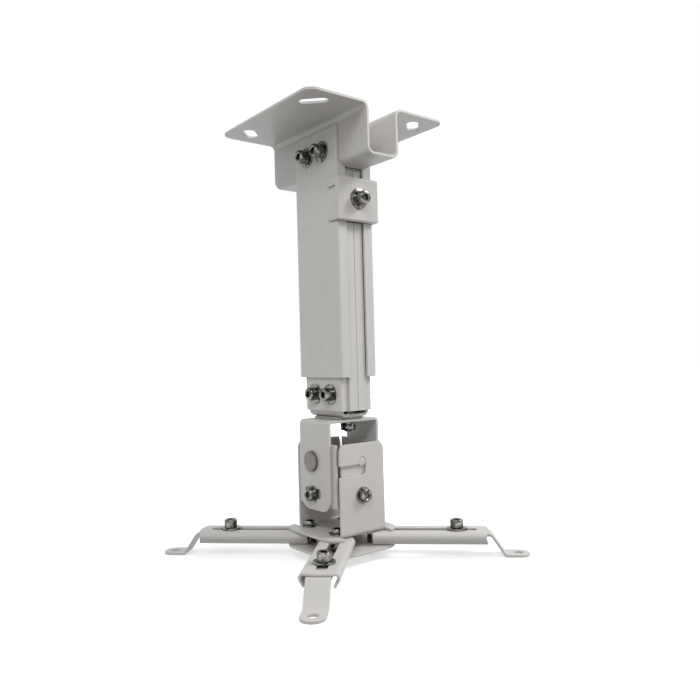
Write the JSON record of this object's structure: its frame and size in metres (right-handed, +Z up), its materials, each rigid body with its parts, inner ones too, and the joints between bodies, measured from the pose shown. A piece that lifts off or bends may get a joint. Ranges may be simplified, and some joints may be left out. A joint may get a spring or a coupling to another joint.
{
  "type": "projector ceiling mount",
  "caption": "Projector ceiling mount with a sliding column, a swivel, tilt and roll head, and swinging slotted arms with sliding feet.",
  "frame": {"origin": "centre of the face that lies on the ceiling, on the column's axis", "axes": "+Z up into the ceiling along the column, +X out of the outer tube's open side, -Y the side with the column's screw heads"},
  "size_m": [0.2684, 0.2684, 0.4315],
  "materials": {
    "grey_powder_coat": "light grey powder coat, satin",
    "coated_aluminium": "light grey coat on extruded aluminium, satin",
    "nylon": "moulded grey nylon, matte",
    "zinc_plated_rivet": "plated steel, dull",
    "zinc_plated_screw": "bright plated steel"
  },
  "bodies": {
    "ceiling": {"ceiling_bracket": "grey_powder_coat", "outer_tube": "coated_aluminium", "top_screws": "zinc_plated_screw", "top_washers": "zinc_plated_screw", "top_nuts": "zinc_plated_screw"},
    "column": {"inner_tube": "coated_aluminium", "guide_liner": "nylon", "height_collar": "grey_powder_coat", "collar_screws": "zinc_plated_screw", "collar_washers": "zinc_plated_screw", "collar_nuts": "zinc_plated_screw", "swivel_spigot": "grey_powder_coat", "spigot_screws": "zinc_plated_screw", "spigot_washers": "zinc_plated_screw", "spigot_nuts": "zinc_plated_screw", "swivel_rivet": "zinc_plated_rivet", "swivel_pad": "nylon", "swivel_lock_screws": "zinc_plated_screw", "swivel_lock_washers": "zinc_plated_screw", "swivel_lock_nuts": "zinc_plated_screw"},
    "yoke": {"upper_yoke": "grey_powder_coat"},
    "bracket": {"tilt_bracket": "grey_powder_coat", "tilt_rivets": "zinc_plated_rivet", "tilt_lock_screws": "zinc_plated_screw", "tilt_lock_washers": "zinc_plated_screw", "tilt_lock_nuts": "zinc_plated_screw", "roll_pins": "grey_powder_coat"},
    "spider": {"lower_yoke": "grey_powder_coat", "roll_lock_screws": "zinc_plated_screw", "roll_lock_washers": "zinc_plated_screw", "roll_lock_nuts": "zinc_plated_screw", "lower_plate": "grey_powder_coat", "hub_screws": "zinc_plated_screw", "hub_washers": "zinc_plated_screw", "hub_nuts": "zinc_plated_screw", "hub_spacers": "zinc_plated_screw"},
    "arm_1": {"arm_1": "grey_powder_coat"},
    "arm_2": {"arm_2": "grey_powder_coat"},
    "arm_3": {"arm_3": "grey_powder_coat"},
    "arm_4": {"arm_4": "grey_powder_coat"},
    "foot_1": {"foot_1": "grey_powder_coat", "foot_screw_1": "zinc_plated_screw", "foot_washer_1": "zinc_plated_screw", "foot_nut_1": "zinc_plated_screw"},
    "foot_2": {"foot_2": "grey_powder_coat", "foot_screw_2": "zinc_plated_screw", "foot_washer_2": "zinc_plated_screw", "foot_nut_2": "zinc_plated_screw"},
    "foot_3": {"foot_3": "grey_powder_coat", "foot_screw_3": "zinc_plated_screw", "foot_washer_3": "zinc_plated_screw", "foot_nut_3": "zinc_plated_screw"},
    "foot_4": {"foot_4": "grey_powder_coat", "foot_screw_4": "zinc_plated_screw", "foot_washer_4": "zinc_plated_screw", "foot_nut_4": "zinc_plated_screw"}
  },
  "joints": [
    {"name": "height_slide", "type": "slide", "parent": "ceiling", "child": "column", "axis": [0, 0, -1], "range_m": [0, 0.14]},
    {"name": "swivel", "type": "hinge", "parent": "column", "child": "yoke", "pos_m": [0, 0, -0.2945], "axis": [0, 0, 1], "range_deg": [-60, 60]},
    {"name": "tilt", "type": "hinge", "parent": "yoke", "child": "bracket", "pos_m": [-0.004, 0, -0.335], "axis": [0, 1, 0], "range_deg": [-15, 15]},
    {"name": "roll", "type": "hinge", "parent": "bracket", "child": "spider", "pos_m": [0, 0, -0.335], "axis": [1, 0, 0], "range_deg": [-15, 15]},
    {"name": "arm_1_swing", "type": "hinge", "parent": "spider", "child": "arm_1", "pos_m": [0.023, 0.023, -0.4066], "axis": [0, 0, 1], "range_deg": [-45, 45]},
    {"name": "arm_2_swing", "type": "hinge", "parent": "spider", "child": "arm_2", "pos_m": [-0.023, 0.023, -0.4066], "axis": [0, 0, 1], "range_deg": [-45, 45]},
    {"name": "arm_3_swing", "type": "hinge", "parent": "spider", "child": "arm_3", "pos_m": [-0.023, -0.023, -0.4066], "axis": [0, 0, 1], "range_deg": [-45, 45]},
    {"name": "arm_4_swing", "type": "hinge", "parent": "spider", "child": "arm_4", "pos_m": [0.023, -0.023, -0.4066], "axis": [0, 0, 1], "range_deg": [-45, 45]},
    {"name": "foot_1_slide", "type": "slide", "parent": "arm_1", "child": "foot_1", "axis": [0.7071, 0.7071, 0], "range_m": [-0.045, 0.008]},
    {"name": "foot_2_slide", "type": "slide", "parent": "arm_2", "child": "foot_2", "axis": [-0.7071, 0.7071, 0], "range_m": [-0.045, 0.008]},
    {"name": "foot_3_slide", "type": "slide", "parent": "arm_3", "child": "foot_3", "axis": [-0.7071, -0.7071, 0], "range_m": [-0.045, 0.008]},
    {"name": "foot_4_slide", "type": "slide", "parent": "arm_4", "child": "foot_4", "axis": [0.7071, -0.7071, 0], "range_m": [-0.045, 0.008]}
  ]
}
